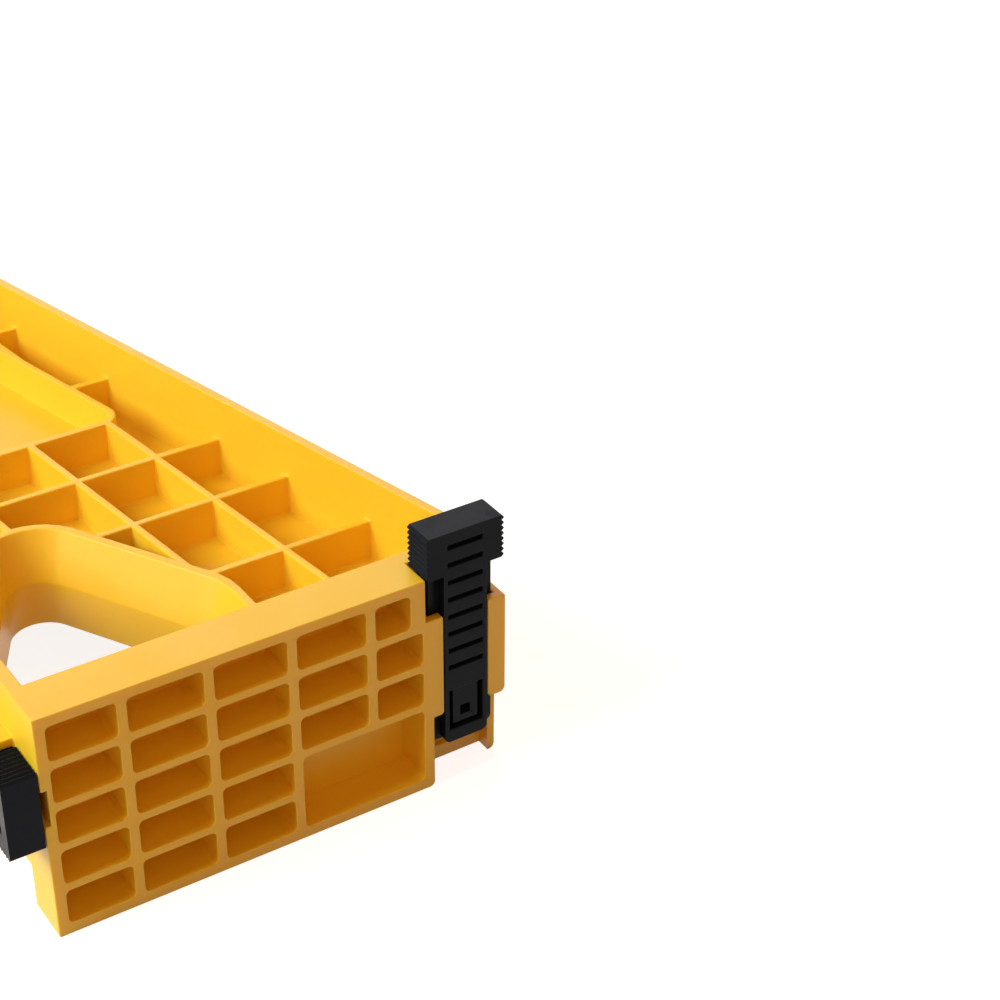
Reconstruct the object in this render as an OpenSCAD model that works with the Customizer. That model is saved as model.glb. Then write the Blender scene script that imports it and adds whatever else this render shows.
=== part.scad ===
/* [Overall size] */
// Length from the front of the end block to the far end
jig_len = 320; // [280:5:400]
// Width of the end block across the jig
block_w = 122; // [118:1:134]
// Height of the end block, hooked edge included
block_h = 62.5; // [60:0.5:70]
// Thickness of the end block along the jig
block_t = 13.6; // [12.6:0.1:18]
// How far the end block hooks past the back of the jig
hook_drop = 12.5; // [8:0.5:15]
// Thickness of the hooked edge, relieved so that it seats by its own face
hook_t = 13.3; // [12.6:0.1:18]

/* [Ledge] */
// Rise of the raised ledge over the low ledge
ledge_rise = 9.1; // [8.9:0.1:12]
// Where the ramp starts, measured from the front
ramp_start = 49.7; // [46:0.1:55]
// Wall under the ledge
ledge_t = 3.6; // [3:0.1:5]

/* [Tray] */
// Slope of the lower wall in degrees
taper = 13.25; // [11:0.25:15]
// Thickness of the lower wall and the far wall
rim_t = 2.5; // [2:0.1:4]
// Thickness of the middle web
web_t = 2.5; // [2:0.1:4]
// Thickness of the ribs
rib_t = 2; // [1.6:0.1:3]
// How far the ribs stay below the open rim on each side
rib_inset = 12.5; // [8:0.5:16]
// How far the lower wall starts in from the side of the end block
wall_drop = 0.5; // [0:0.1:2]
// Outer corner radius at the far end
far_r = 8; // [4:1:12]
// Distances of the cross ribs from the front
cross_ribs = [47.5, 78, 105, 152, 194.5, 237, 280];
// Long ribs, each with its height at the end block and its slope
long_ribs = [[-42, 0.127], [-68.1, 0.128], [-91.4, 0.133]];

/* [Hand opening] */
// Lower edge of the opening beside the end block
grip_low = 61.3; // [58:0.1:64]
// Radius of the lower bend
grip_low_r = 12; // [8:1:14]
// Where the lower bend sits along the jig
grip_low_x = 38; // [34:1:40]
// Radius of the upper bend
grip_up_r = 8; // [6:1:10]
// Where the upper bend sits along the jig
grip_up_x = 40; // [36:1:42]
// Centre of the rounded far end of the opening
grip_nose = [76, -32];
// Radius of the rounded far end
grip_nose_r = 8.5; // [7:0.5:10]
// How much the opening widens from the web up to the rib tops
grip_flare = 6; // [3:0.5:7]
// Wall round the opening
grip_wall = 2.4; // [2:0.1:3]

/* [Walled recess] */
// Inner start of the recess along the jig
well_x0 = 130; // [126:1:134]
// Inner end of the recess along the jig
well_x1 = 222; // [210:1:228]
// Inner upper edge of the recess
well_top = -16; // [-20:1:-10]
// Gap from the outside of the lower wall to the inside of the recess
well_gap = 14.3; // [12:0.1:18]
// Inner corner radius of the recess
well_r = 4; // [2:0.5:6]

/* [Pockets of the end block] */
// Start of each pocket column, measured from the low ledge
col_start = [2.8, 22.1, 43.5, 64.8, 85.7];
// Width of each pocket column
col_w = [16.8, 18.9, 18.8, 18.4, 12.9];
// Margin above the first pocket row
row_top = 2.9; // [2:0.1:4]
// Height of a pocket
pocket_h = 9.6; // [8:0.1:9.8]
// Distance from one pocket row to the next
row_pitch = 11.75; // [11.7:0.05:13]
// Corner radius of the pockets
pocket_r = 1.4; // [0.8:0.1:3]
// Depth of the pockets
pocket_d = 10.8; // [8:0.1:11]
// Width of the short pocket beside the slider head
short_w = 9.6; // [8:0.1:9.8]

/* [Sliders] */
// Length of a slider
slide_len = 61.9; // [58:0.1:62]
// Thickness of a slider
slide_t = 8.6; // [8:0.1:8.6]
// Width of the head over its teeth
head_w = 21.7; // [20:0.1:22]
// Length of the head
head_len = 11.9; // [10:0.1:12]
// Width of the stem between the guide lips
stem_w = 12.2; // [11:0.1:12.6]
// Width of the flange under the guide lips
flange_w = 17.9; // [17:0.1:18]
// Thickness of the flange
flange_t = 5.8; // [5:0.1:6]
// Corner radius at the tail
tail_r = 1.6; // [1:0.1:2.4]
// Number of teeth on each side of the head
tooth_n = 8; // [6:1:9]
// Depth of a tooth
tooth_d = 0.65; // [0.4:0.05:0.8]
// Flat left at the tip of a tooth
tooth_flat = 0.3; // [0.2:0.1:0.5]
// Number of cross grooves
groove_n = 8; // [6:1:8]
// Distance from one groove to the next
groove_pitch = 5; // [4.5:0.1:5]
// Distance from the end of the head to the first groove
groove_first = 4.1; // [3.5:0.1:5]
// Width of a groove
groove_w = 1.3; // [1:0.1:1.6]
// Length of a groove across the slider
groove_len = 9.8; // [8:0.1:10.4]
// Depth of a groove
groove_d = 1.4; // [1:0.1:1.8]
// How far each slider moves
travel = 11; // [8:0.5:11]

/* [Latch] */
// Start of the slot beside the latch tongue
latch_x0 = 46.2; // [45.5:0.1:48]
// End of the slot
latch_x1 = 58.2; // [56:0.1:59]
// Outer width of the slot
latch_w = 9.6; // [8:0.1:10]
// Width of the slot itself
latch_gap = 1.2; // [0.8:0.1:1.5]
// Thickness of the latch tongue
tongue_t = 2.4; // [2:0.1:3]
// How far the tongue lies below the grooved face
tongue_sink = 0.5; // [0:0.1:1]
// Size of the square hole in the tongue
eye = 2.6; // [2:0.1:3]
// Distance from the end of the head to the hole
eye_x = 53.5; // [52.5:0.1:54]
// How far the latch bump stands below the slider
bump = 1.1; // [0.6:0.1:1.3]
// Length of the latch bump
bump_len = 2.4; // [1.6:0.1:2.8]

/* [Guides] */
// Clearance between a slider and what it runs on
play = 0.3; // [0.2:0.05:0.4]
// Clearance on each side of a slider between its guides
side_play = 0.35; // [0.25:0.05:0.45]
// Room behind the tail of the ledge slider
tail_room = 1.2; // [1:0.1:2]
// Wall of a guide
guide_t = 2.5; // [2:0.1:3]
// Thickness of the lips over the flange
lip_t = 2.5; // [2:0.1:2.5]
// End of the lips on the ledge, measured from the front
lip_end = 41; // [36:0.5:44]
// Lower end of the lips on the end block, measured from the open side
lip_low = 41.3; // [36:0.1:44]
// How far the outer guide is cut down below the lips
guide_cut = 4.9; // [3:0.1:5.2]
// Radius of the steps at the ends of the lips
step_r = 1; // [0.5:0.1:1.6]
// Radius of the lower corners beside the end guide
foot_r = 1.5; // [1:0.1:2]
// Width of the latch groove in the guide floor
latch_track_w = 10; // [9.9:0.1:11]
// Depth of the latch groove
latch_track_d = 1.5; // [1.4:0.1:1.6]
// Length of the latch groove
latch_track_len = 58.5; // [58.2:0.1:59]
// Distance from the far side of the end block to the middle of its guide
end_guide_y = 11.35; // [11.3:0.05:11.6]

/* [Hidden] */
$fn = 32;
eps = 0.02;
// how far a cutter runs past the face it opens
over = 5;
body_d = block_h - hook_drop;
mid_z = hook_drop + body_d / 2;
rib_z0 = hook_drop + rib_inset;
rib_z1 = block_h - rib_inset;
chan_w = flange_w + 2 * side_play;
lip_gap = stem_w + 2 * side_play;
guide_y = -block_w + end_guide_y;
floor_x = slide_t + play;
ledge_end = slide_len + tail_room;
turn = ledge_t * tan(22.5);
// shift that puts the origin under the middle of the whole jig
shift = [-jig_len / 2, (block_w - ledge_rise) / 2, 0];

function wall_y(x) = wall_drop - block_w + (x - block_t) * tan(taper);
function inner_y(x) = wall_y(x) + rim_t / cos(taper);
function well_y(x, gap) = wall_y(x) + gap / cos(taper);

// what is cut away to round two corners at a far end: x is where the bends
// start, top is the upper line and low the height of the sloping line there
module far_corners(x, top, low, r) {
    y_up = top - r;
    y_low = low + r / cos(taper);
    difference() {
        union() {
            translate([x, y_up])
                square([r + over, r + over]);
            polygon([
                [x, y_low],
                [x + r + over, y_low],
                [x + r + over, y_low - r - over],
                [x + r * sin(taper), y_low - r - over],
                [x + r * sin(taper), y_low - r * cos(taper)]
            ]);
        }
        translate([x, y_up])
            circle(r + eps, $fn = 96);
        translate([x, y_low])
            circle(r + eps, $fn = 96);
    }
}

// outside of the jig seen from above, ramp and taper included
module outline() {
    x = jig_len - far_r;
    difference() {
        polygon([
            [0, 0],
            [ramp_start, 0],
            [ramp_start + ledge_rise, ledge_rise],
            [jig_len, ledge_rise],
            [jig_len, wall_y(jig_len)],
            [block_t, wall_y(block_t)],
            [0, wall_y(block_t)]
        ]);
        far_corners(x, ledge_rise, wall_y(x), far_r);
    }
}

// the hollow inside the walls, or with grow what reaches a little into them
module hollow(grow = 0) {
    far = jig_len - rim_t + grow;
    top = ledge_rise - ledge_t + grow;
    bend = max(far_r - ledge_t, 1);
    difference() {
        polygon([
            [block_t - grow, -ledge_t + grow],
            [ramp_start + turn, -ledge_t + grow],
            [ramp_start + ledge_rise + turn, top],
            [far, top],
            [far, inner_y(far) - grow],
            [block_t - grow, inner_y(block_t - grow) - grow]
        ]);
        far_corners(far - bend, top, inner_y(far - bend) - grow, bend);
    }
}

// the hand opening as a solid, straight below the web and flared above it
module grip(extra = 0) {
    posts = [
        [0, grip_low_r - grip_low, grip_low_r],
        [grip_low_x, grip_low_r - grip_low, grip_low_r],
        [grip_nose[0], grip_nose[1], grip_nose_r],
        [grip_up_x, -ledge_t - grip_up_r, grip_up_r],
        [0, -ledge_t - grip_up_r, grip_up_r]
    ];
    past = extra > 0 ? 0 : eps;
    intersection() {
        union() {
            translate([0, 0, rib_z0 - past])
                hull()
                    for (p = posts)
                        translate([p[0], p[1], 0])
                            cylinder(r = p[2] + extra, h = mid_z - rib_z0 + past);
            translate([0, 0, mid_z - eps])
                hull()
                    for (p = posts)
                        translate([p[0], p[1], 0])
                            cylinder(
                                r1 = p[2] + extra,
                                r2 = p[2] + extra + grip_flare,
                                h = rib_z1 - mid_z + eps + past
                            );
        }
        translate([block_t, -block_w, 0])
            cube([jig_len, block_w - ledge_t, block_h]);
    }
}

// the walled recess seen from above
module well(extra = 0) {
    hull()
        for (x = [well_x0 + well_r, well_x1 - well_r]) {
            translate([x, well_y(x, well_gap + well_r)])
                circle(well_r + extra);
            translate([x, well_top - well_r])
                circle(well_r + extra);
        }
}

// every rib line seen from above, the recess kept free
module rib_lines() {
    intersection() {
        hollow(0.5);
        union() {
            for (x = cross_ribs)
                translate([x - rib_t / 2, -block_w])
                    square([rib_t, 2 * block_w]);
            for (r = long_ribs)
                polygon([
                    [0, r[0] - r[1] * block_t - rib_t / 2],
                    [jig_len, r[0] + r[1] * (jig_len - block_t) - rib_t / 2],
                    [jig_len, r[0] + r[1] * (jig_len - block_t) + rib_t / 2],
                    [0, r[0] - r[1] * block_t + rib_t / 2]
                ]);
        }
    }
}

// outer walls, web, ribs and the two walled shapes inside the tray
module tray() {
    translate([0, 0, hook_drop])
        linear_extrude(height = body_d)
            difference() {
                outline();
                hollow();
            }
    difference() {
        union() {
            translate([0, 0, mid_z - web_t / 2])
                linear_extrude(height = web_t)
                    hollow(0.5);
            translate([0, 0, rib_z0])
                linear_extrude(height = rib_z1 - rib_z0)
                    rib_lines();
            translate([0, 0, rib_z0])
                linear_extrude(height = rib_z1 - rib_z0)
                    well(rib_t);
            grip(grip_wall);
        }
        grip();
        for (z = [mid_z + web_t / 2, rib_z0 - eps])
            translate([0, 0, z])
                linear_extrude(height = rib_z1 - mid_z - web_t / 2 + eps)
                    well();
    }
}

// one rounded pocket of the end block, open at the front
module pocket(y, z, w, h) {
    translate([-over, y, z])
        rotate([90, 0, 90])
            linear_extrude(height = pocket_d + over)
                translate([pocket_r, pocket_r])
                    offset(r = pocket_r, $fn = 24)
                        square([w - 2 * pocket_r, h - 2 * pocket_r]);
}

// all pockets, the last one large
module pockets() {
    big_h = row_pitch + pocket_h;
    for (c = [0 : 4])
        for (r = [0 : 4])
            if (!(c > 2 && r > 2)) {
                w = c == 4 && r == 0 ? short_w : col_w[c];
                pocket(-col_start[c] - w, block_h - row_top - r * row_pitch - pocket_h, w, pocket_h);
            }
    pocket(
        -col_start[4] - col_w[4],
        block_h - row_top - 3 * row_pitch - big_h,
        col_start[4] + col_w[4] - col_start[3],
        big_h
    );
}

// lip outline with rounded ends, drawn along x with its free edge on the x axis
module lip_shape(len, w) {
    difference() {
        square([len, w]);
        translate([len - step_r, 0])
            square([step_r + eps, step_r]);
    }
    translate([len - step_r, step_r])
        circle(step_r);
}

// guide walls and lips that stand on the low ledge
module ledge_guides() {
    for (s = [-1, 1])
        translate([0, 0, mid_z])
            scale([1, 1, s]) {
                translate([block_t, -eps, chan_w / 2])
                    cube([ledge_end + guide_t - block_t, ledge_rise + eps, guide_t]);
                translate([block_t, ledge_rise, lip_gap / 2])
                    rotate([90, 0, 0])
                        linear_extrude(height = lip_t)
                            lip_shape(lip_end - block_t, (chan_w - lip_gap) / 2 + eps);
            }
    translate([block_t, -ledge_t, mid_z - chan_w / 2 - guide_t])
        cube([ledge_end + guide_t - block_t, ledge_t, chan_w + 2 * guide_t]);
    translate([ledge_end, -ledge_t, mid_z - chan_w / 2 - guide_t])
        cube([guide_t, ledge_rise + ledge_t, chan_w + 2 * guide_t]);
}

// room for the ledge slider through the ramp
module ledge_room() {
    translate([block_t + eps, 0, mid_z - chan_w / 2])
        cube([ledge_end - block_t - eps, ledge_rise + over, chan_w]);
}

// groove that the latch of the ledge slider runs in
module ledge_track() {
    translate([-over, -latch_track_d, mid_z - latch_track_w / 2])
        cube([latch_track_len + over, latch_track_d + over, latch_track_w]);
}

// everything cut from the end block for the end slider
module end_room() {
    head_cut = head_len + play;
    translate([-over, guide_y - chan_w / 2, -over]) {
        translate([over + lip_t, 0, 0])
            cube([floor_x - lip_t, chan_w, block_h + 2 * over]);
        translate([0, (chan_w - lip_gap) / 2, 0])
            cube([over + floor_x, lip_gap, block_h + 2 * over]);
        cube([over + floor_x, chan_w, block_h - lip_low + over]);
    }
    translate([-over, guide_y - end_guide_y - over, block_h - head_cut])
        cube([over + floor_x, end_guide_y + over + head_w / 2 + play, head_cut + over]);
    translate([-over, guide_y - end_guide_y - over, -over])
        cube([over + guide_cut, end_guide_y + over, block_h - lip_low + over]);
    translate([floor_x - eps, guide_y - latch_track_w / 2, block_h - latch_track_len])
        cube([latch_track_d + eps, latch_track_w, latch_track_len + over]);
}

// rounded ends of the lips on the end block
module end_steps() {
    for (s = [-1, 1])
        translate([0, guide_y + s * lip_gap / 2, block_h - lip_low])
            scale([1, s, 1])
                difference() {
                    translate([0, 0, -eps])
                        cube([lip_t, step_r, step_r + eps]);
                    translate([-eps, step_r, step_r])
                        rotate([0, 90, 0])
                            cylinder(r = step_r, h = lip_t + 2 * eps);
                }
}

// what is cut away to round a lower corner, from the front up to x
module low_corner(y, z, x) {
    difference() {
        translate([-over, y - eps, z - eps])
            cube([x + over, foot_r + eps, foot_r + eps]);
        translate([-over - eps, y + foot_r, z + foot_r])
            rotate([0, 90, 0])
                cylinder(r = foot_r, h = x + over + 2 * eps);
    }
}

// the end block and its hooked edge
module end_block() {
    difference() {
        union() {
            translate([0, -block_w, hook_drop])
                cube([block_t, block_w, body_d]);
            translate([0, -block_w, 0])
                cube([hook_t, block_w, hook_drop + eps]);
        }
        pockets();
        end_room();
        low_corner(guide_y + chan_w / 2, 0, floor_x);
        low_corner(-block_w, 0, block_t + over);
        low_corner(-block_w, block_h - lip_low, guide_cut);
    }
}

// the moulded body of the jig
module jig_body() {
    color("gold")
        translate(shift)
            difference() {
                union() {
                    difference() {
                        tray();
                        translate([-over, -2 * block_w, -over])
                            cube([block_t + over - eps, 3 * block_w, block_h + 2 * over]);
                        ledge_room();
                    }
                    end_block();
                    ledge_guides();
                }
                ledge_track();
                end_steps();
            }
}

// outline of the head with its teeth, seen from above
module head_shape() {
    pitch = head_len / tooth_n;
    root = head_w / 2 - tooth_d;
    translate([0, -root])
        square([head_len, 2 * root]);
    for (s = [-1, 1], i = [0 : tooth_n - 1])
        scale([1, s])
            polygon([
                [i * pitch, root - eps],
                [i * pitch + pitch / 2 - tooth_flat / 2, head_w / 2],
                [i * pitch + pitch / 2 + tooth_flat / 2, head_w / 2],
                [(i + 1) * pitch, root - eps]
            ]);
}

// a bar of the slider that starts in the head and has two rounded tail corners
module tail_bar(w) {
    translate([head_len / 2, -w / 2])
        square([slide_len - tail_r - head_len / 2, w]);
    translate([head_len / 2, tail_r - w / 2])
        square([slide_len - head_len / 2, w - 2 * tail_r]);
    for (s = [-1, 1])
        translate([slide_len - tail_r, s * (w / 2 - tail_r)])
            circle(tail_r);
}

// one slider, its head at the origin, its grooved face up
module slider() {
    tongue_z1 = slide_t - tongue_sink;
    tongue_z0 = tongue_z1 - tongue_t;
    difference() {
        union() {
            linear_extrude(height = slide_t)
                head_shape();
            linear_extrude(height = flange_t)
                tail_bar(flange_w);
            linear_extrude(height = slide_t)
                tail_bar(stem_w);
        }
        for (i = [0 : groove_n - 1])
            translate([groove_first + i * groove_pitch - groove_w / 2, -groove_len / 2, slide_t - groove_d])
                cube([groove_w, groove_len, groove_d + over]);
        translate([latch_x0, -latch_w / 2, -over])
            cube([latch_x1 - latch_x0, latch_w, slide_t + 2 * over]);
    }
    tongue_w = latch_w - 2 * latch_gap;
    tongue_end = latch_x1 - latch_gap;
    difference() {
        union() {
            translate([latch_x0 - eps, -tongue_w / 2, tongue_z0])
                cube([tongue_end - latch_x0 + eps, tongue_w, tongue_t]);
            translate([tongue_end - bump_len, -tongue_w / 2, play / 2])
                cube([bump_len, tongue_w, tongue_z0]);
            translate([tongue_end - bump_len / 2, tongue_w / 2, bump_len / 2 - bump])
                rotate([90, 0, 0])
                    cylinder(r = bump_len / 2, h = tongue_w);
        }
        translate([eye_x - eye / 2, -eye / 2, -over])
            cube([eye, eye, slide_t + 2 * over]);
    }
}

// slider on the ledge, drawn pushed in with its head flush with the front
module ledge_slider() {
    color("dimgray")
        translate(shift)
            translate([0, play, mid_z])
                rotate([-90, 0, 0])
                    slider();
}

// slider in the end block, drawn pulled out by its travel
module end_slider() {
    color("dimgray")
        translate(shift)
            translate([slide_t, guide_y, block_h + travel])
                rotate([0, 0, 180])
                    rotate([0, 90, 0])
                        slider();
}

jig_body();
ledge_slider();
end_slider();
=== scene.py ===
import math

import bmesh
import bpy
import numpy as np
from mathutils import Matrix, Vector


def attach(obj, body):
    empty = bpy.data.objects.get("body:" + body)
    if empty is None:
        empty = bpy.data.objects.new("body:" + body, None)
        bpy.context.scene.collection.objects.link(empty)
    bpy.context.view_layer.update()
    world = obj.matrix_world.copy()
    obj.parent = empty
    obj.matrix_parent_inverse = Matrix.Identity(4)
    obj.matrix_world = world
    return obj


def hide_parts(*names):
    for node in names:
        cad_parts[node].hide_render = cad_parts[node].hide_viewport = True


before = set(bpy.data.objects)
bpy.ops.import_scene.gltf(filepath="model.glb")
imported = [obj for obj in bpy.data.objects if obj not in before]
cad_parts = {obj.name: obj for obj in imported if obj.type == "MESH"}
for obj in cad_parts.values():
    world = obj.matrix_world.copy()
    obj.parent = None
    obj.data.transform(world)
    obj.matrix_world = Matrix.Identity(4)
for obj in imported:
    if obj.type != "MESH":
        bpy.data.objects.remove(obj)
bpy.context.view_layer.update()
scene = bpy.context.scene

# The camera stands before the end block, a little to the ledge side and above,
# so that the open ribbed side, the pockets and both sliders show.
camera_data = bpy.data.cameras.new("camera")
camera_data.lens = 81.288
camera_data.sensor_width = 36.0
camera_data.clip_start = 0.01
camera_turn = (57.7945, -0.2052, -123.0994)
camera = bpy.data.objects.new("camera", camera_data)
camera.location = (-0.53732, 0.18326, 0.36198)
camera.rotation_euler = tuple(math.radians(a) for a in camera_turn)
scene.collection.objects.link(camera)
scene.camera = camera

# The body is one injection moulding in yellow plastic: walls, web, ribs,
# pockets and slider guides in one piece, every edge slightly rounded.


def rounded_copy(node, name, width, sharp=20.0, flat=0.4, share=0.28):
    """A piece with the outer skin of a solid, without closed hollows in its walls.
    Doubles are merged and faces that fold by less than flat degrees joined, then
    each edge that folds by more than sharp degrees is rounded by width, or by a
    share of the shortest such edge that meets its ends, where that is less."""
    mesh = bpy.data.meshes.new_from_object(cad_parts[node])
    mesh.name = name
    shape = bmesh.new()
    shape.from_mesh(mesh)
    layer = shape.edges.layers.float.new("bevel_weight_edge")
    bmesh.ops.remove_doubles(shape, verts=shape.verts, dist=2e-6)
    lowest = min(shape.verts, key=lambda v: v.co.z)
    skin, reached = set(), [lowest.link_faces[0]]
    while reached:
        face = reached.pop()
        if face not in skin:
            skin.add(face)
            reached += [f for e in face.edges for f in e.link_faces]
    inside = [f for f in shape.faces if f not in skin]
    bmesh.ops.delete(shape, geom=inside, context="FACES")
    bmesh.ops.dissolve_limit(
        shape,
        angle_limit=math.radians(flat),
        verts=shape.verts,
        edges=shape.edges,
    )
    large = [f for f in shape.faces if len(f.verts) > 4]
    bmesh.ops.triangulate(shape, faces=large)
    shape.verts.index_update()
    fold = math.radians(sharp)
    folds = [e for e in shape.edges if e.calc_face_angle(0.0) > fold]
    ends = np.array([[v.index for v in e.verts] for e in folds])
    length = np.array([e.calc_length() for e in folds])
    room = np.full(len(shape.verts), 1.0)
    np.minimum.at(room, ends.ravel(), np.repeat(length, 2))
    amount = np.minimum(1.0, share * room[ends].min(axis=1) / width)
    for edge, weight in zip(folds, amount):
        edge[layer] = weight
    shape.to_mesh(mesh)
    shape.free()
    mesh.materials.clear()
    mesh.shade_smooth()
    piece = bpy.data.objects.new(name, mesh)
    scene.collection.objects.link(piece)
    rounding = piece.modifiers.new("rounded edges", "BEVEL")
    rounding.limit_method = "WEIGHT"
    rounding.width = width
    rounding.segments = 2
    rounding.use_clamp_overlap = False
    rounding.miter_outer = "MITER_SHARP"
    even = piece.modifiers.new("even normals", "WEIGHTED_NORMAL")
    even.mode = "FACE_AREA"
    even.weight = 100
    return piece


def moulding_marks():
    """Group for both plastics: a fine grain as height, and two slow masks that
    stand for flow of the melt and for handling."""
    group = bpy.data.node_groups.new("moulding marks", "ShaderNodeTree")
    socket = group.interface.new_socket
    socket("Vector", in_out="INPUT", socket_type="NodeSocketVector")
    socket("Grain Scale", in_out="INPUT", socket_type="NodeSocketFloat")
    socket("Flow Scale", in_out="INPUT", socket_type="NodeSocketFloat")
    socket("Grain", in_out="OUTPUT", socket_type="NodeSocketFloat")
    socket("Flow", in_out="OUTPUT", socket_type="NodeSocketFloat")
    socket("Handling", in_out="OUTPUT", socket_type="NodeSocketFloat")
    nodes, links = group.nodes, group.links
    inside = nodes.new("NodeGroupInput")
    outside = nodes.new("NodeGroupOutput")
    grain = nodes.new("ShaderNodeTexNoise")
    grain.inputs["Detail"].default_value = 2.0
    grain.inputs["Roughness"].default_value = 0.6
    links.new(inside.outputs["Vector"], grain.inputs["Vector"])
    links.new(inside.outputs["Grain Scale"], grain.inputs["Scale"])
    links.new(grain.outputs["Fac"], outside.inputs["Grain"])
    flow = nodes.new("ShaderNodeTexNoise")
    flow.inputs["Detail"].default_value = 1.5
    flow.inputs["Distortion"].default_value = 1.2
    links.new(inside.outputs["Vector"], flow.inputs["Vector"])
    links.new(inside.outputs["Flow Scale"], flow.inputs["Scale"])
    links.new(flow.outputs["Fac"], outside.inputs["Flow"])
    smears = nodes.new("ShaderNodeTexNoise")
    smears.inputs["Detail"].default_value = 4.0
    smears.inputs["Distortion"].default_value = 0.4
    faster = nodes.new("ShaderNodeMath")
    faster.operation = "MULTIPLY"
    faster.inputs[1].default_value = 3.7
    links.new(inside.outputs["Flow Scale"], faster.inputs[0])
    links.new(inside.outputs["Vector"], smears.inputs["Vector"])
    links.new(faster.outputs[0], smears.inputs["Scale"])
    spread = nodes.new("ShaderNodeMapRange")
    spread.inputs["From Min"].default_value = 0.42
    spread.inputs["From Max"].default_value = 0.68
    links.new(smears.outputs["Fac"], spread.inputs["Value"])
    links.new(spread.outputs["Result"], outside.inputs["Handling"])
    return group


def plastic(name, colours, roughness, grain_scale, flow_scale, bump_strength):
    """A moulded plastic: colour runs from the first to the second with the flow,
    roughness from its low to its high value with handling, and grain is the bump."""
    material = bpy.data.materials.new(name)
    material.use_nodes = True
    nodes, links = material.node_tree.nodes, material.node_tree.links
    shader = nodes["Principled BSDF"]
    place = nodes.new("ShaderNodeTexCoord")
    group = nodes.new("ShaderNodeGroup")
    group.node_tree = marks
    group.inputs["Grain Scale"].default_value = grain_scale
    group.inputs["Flow Scale"].default_value = flow_scale
    links.new(place.outputs["Object"], group.inputs["Vector"])
    tint = nodes.new("ShaderNodeMix")
    tint.data_type = "RGBA"
    tint.inputs["A"].default_value = (*colours[0], 1.0)
    tint.inputs["B"].default_value = (*colours[1], 1.0)
    links.new(group.outputs["Flow"], tint.inputs["Factor"])
    links.new(tint.outputs["Result"], shader.inputs["Base Color"])
    gloss = nodes.new("ShaderNodeMapRange")
    gloss.inputs["To Min"].default_value = roughness[0]
    gloss.inputs["To Max"].default_value = roughness[1]
    links.new(group.outputs["Handling"], gloss.inputs["Value"])
    links.new(gloss.outputs["Result"], shader.inputs["Roughness"])
    bump = nodes.new("ShaderNodeBump")
    bump.inputs["Strength"].default_value = bump_strength
    bump.inputs["Distance"].default_value = 0.0001
    links.new(group.outputs["Grain"], bump.inputs["Height"])
    links.new(bump.outputs["Normal"], shader.inputs["Normal"])
    return material


marks = moulding_marks()
yellow = plastic(
    "yellow moulded plastic",
    colours=((0.90, 0.59, 0.026), (0.93, 0.63, 0.034)),
    roughness=(0.36, 0.46),
    grain_scale=2600.0,
    flow_scale=14.0,
    bump_strength=0.25,
)
yellow_shader = yellow.node_tree.nodes["Principled BSDF"]
yellow_shader.inputs["Subsurface Weight"].default_value = 0.4
yellow_shader.inputs["Subsurface Radius"].default_value = (1.0, 0.45, 0.1)
yellow_shader.inputs["Subsurface Scale"].default_value = 0.003
body = rounded_copy("jig_body", "moulded_body", width=0.0004)
body.data.materials.append(yellow)
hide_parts("jig_body")
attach(body, "body")

# The two sliders are one black moulding each, with a toothed head, cross
# grooves for the thumb and a latch tongue, held in the T-shaped guides.
black = plastic(
    "black moulded plastic",
    colours=((0.0065, 0.0095, 0.0155), (0.009, 0.013, 0.0205)),
    roughness=(0.28, 0.42),
    grain_scale=3400.0,
    flow_scale=30.0,
    bump_strength=0.35,
)
black_shader = black.node_tree.nodes["Principled BSDF"]
black_shader.inputs["Specular IOR Level"].default_value = 0.075
black_shader.inputs["Specular Tint"].default_value = (0.8, 0.9, 1.0, 1.0)
for node, name, rides_on in (
    ("ledge_slider", "ledge_stop", "ledge_slide"),
    ("end_slider", "end_stop", "end_slide"),
):
    stop = rounded_copy(node, name, width=0.00025)
    stop.data.materials.append(black)
    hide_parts(node)
    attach(stop, rides_on)

# The jig lies on a white table top, a plain matt sheet that keeps its shadow.
# To the camera, and mirrored in the plastic, the sheet is lifted to white.
half_side = 3.0
table_mesh = bpy.data.meshes.new("table_top")
corner = np.array([(-1, -1), (1, -1), (1, 1), (-1, 1)], float) * half_side
table_mesh.from_pydata([(x, y, 0.0) for x, y in corner], [], [(0, 1, 2, 3)])
table = bpy.data.objects.new("table_top", table_mesh)
scene.collection.objects.link(table)
white = bpy.data.materials.new("white table top")
white.use_nodes = True
white_nodes, white_links = white.node_tree.nodes, white.node_tree.links
white_shader = white_nodes["Principled BSDF"]
white_shader.inputs["Base Color"].default_value = (0.5, 0.5, 0.5, 1.0)
white_shader.inputs["Roughness"].default_value = 0.9
white_shader.inputs["Specular IOR Level"].default_value = 0.1
white_shader.inputs["Emission Color"].default_value = (1, 1, 1, 1)
path = white_nodes.new("ShaderNodeLightPath")
either = white_nodes.new("ShaderNodeMath")
either.operation = "MAXIMUM"
lift = white_nodes.new("ShaderNodeMath")
lift.operation = "MULTIPLY"
lift.inputs[1].default_value = 0.85
white_links.new(path.outputs["Is Camera Ray"], either.inputs[0])
white_links.new(path.outputs["Is Glossy Ray"], either.inputs[1])
white_links.new(either.outputs[0], lift.inputs[0])
white_links.new(lift.outputs[0], white_shader.inputs["Emission Strength"])
table_mesh.materials.append(white)

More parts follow.
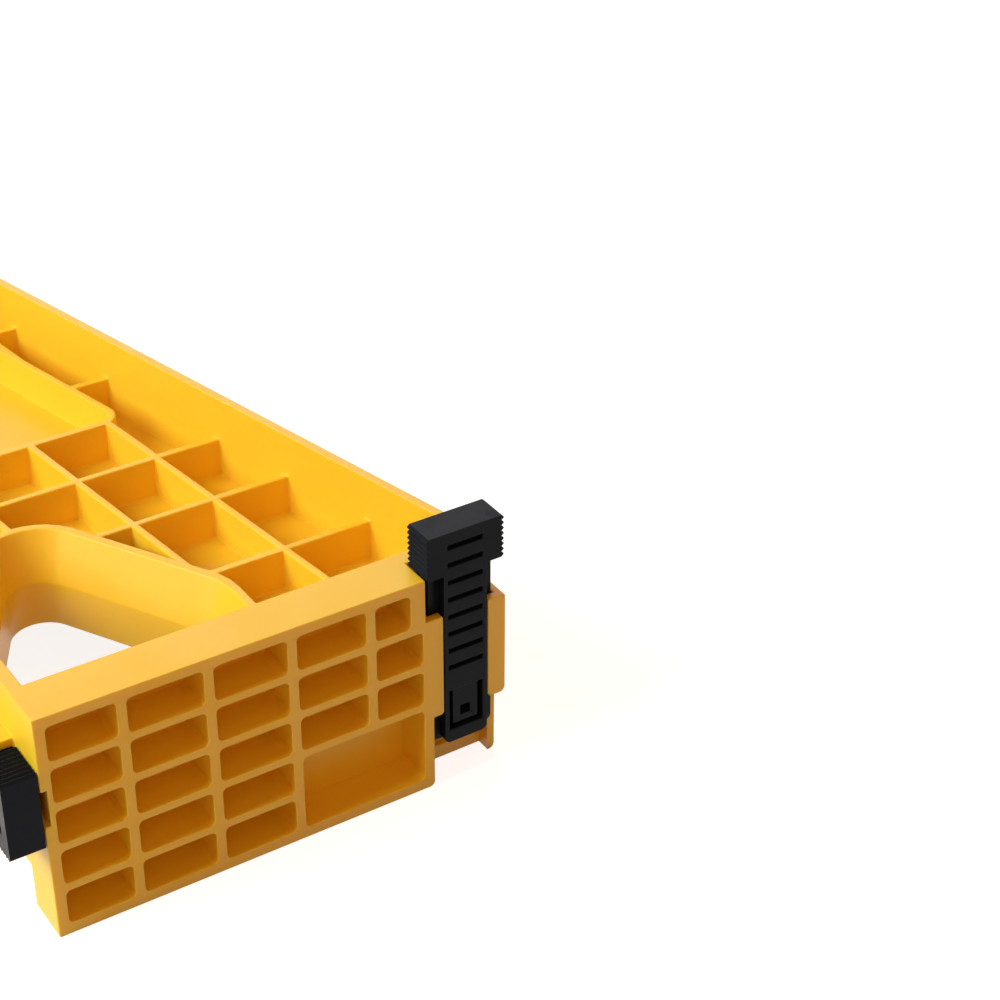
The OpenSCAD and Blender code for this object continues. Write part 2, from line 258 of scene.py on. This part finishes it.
# Soft studio light: a wide lamp above the ledge side, one beyond the far end
# that gives the tops their sheen, and a weak warm one before the end block.
aim = Vector((0.0, 0.0, 0.03))
for name, place, size, watts, colour in (
    ("key lamp", (0.12, 1.2, 0.9), 0.9, 23.5, (0.92, 1.0, 0.95)),
    ("back lamp", (1.35, -0.6, 0.95), 1.2, 7.0, (1.0, 1.0, 1.0)),
    ("front lamp", (-1.0, 0.25, 0.95), 0.9, 2.0, (1.0, 0.56, 0.24)),
):
    lamp_data = bpy.data.lights.new(name, "AREA")
    lamp_data.shape = "SQUARE"
    lamp_data.size = size
    lamp_data.energy = watts
    lamp_data.color = colour
    lamp = bpy.data.objects.new(name, lamp_data)
    lamp.location = place
    turn = (aim - Vector(place)).to_track_quat("-Z", "Y")
    lamp.rotation_euler = turn.to_euler()
    scene.collection.objects.link(lamp)

# The room is even and warm to the plastic, and white to the camera. Mirrored in
# the plastic, it is in between.
world = bpy.data.worlds.new("room")
scene.world = world
world.use_nodes = True
room_nodes, room_links = world.node_tree.nodes, world.node_tree.links
room = room_nodes["Background"]
room.inputs["Color"].default_value = (1.0, 0.47, 0.22, 1.0)
room.inputs["Strength"].default_value = 0.36
backdrop = room_nodes.new("ShaderNodeBackground")
backdrop.inputs["Color"].default_value = (1.0, 1.0, 1.0, 1.0)
backdrop.inputs["Strength"].default_value = 1.0
ray = room_nodes.new("ShaderNodeLightPath")
mirrored = room_nodes.new("ShaderNodeMath")
mirrored.operation = "MULTIPLY_ADD"
mirrored.inputs[1].default_value = 0.4
room_links.new(ray.outputs["Is Glossy Ray"], mirrored.inputs[0])
room_links.new(ray.outputs["Is Camera Ray"], mirrored.inputs[2])
choose = room_nodes.new("ShaderNodeMixShader")
room_links.new(mirrored.outputs[0], choose.inputs[0])
room_links.new(room.outputs[0], choose.inputs[1])
room_links.new(backdrop.outputs[0], choose.inputs[2])
room_links.new(choose.outputs[0], room_nodes["World Output"].inputs["Surface"])

scene.view_settings.view_transform = "Standard"
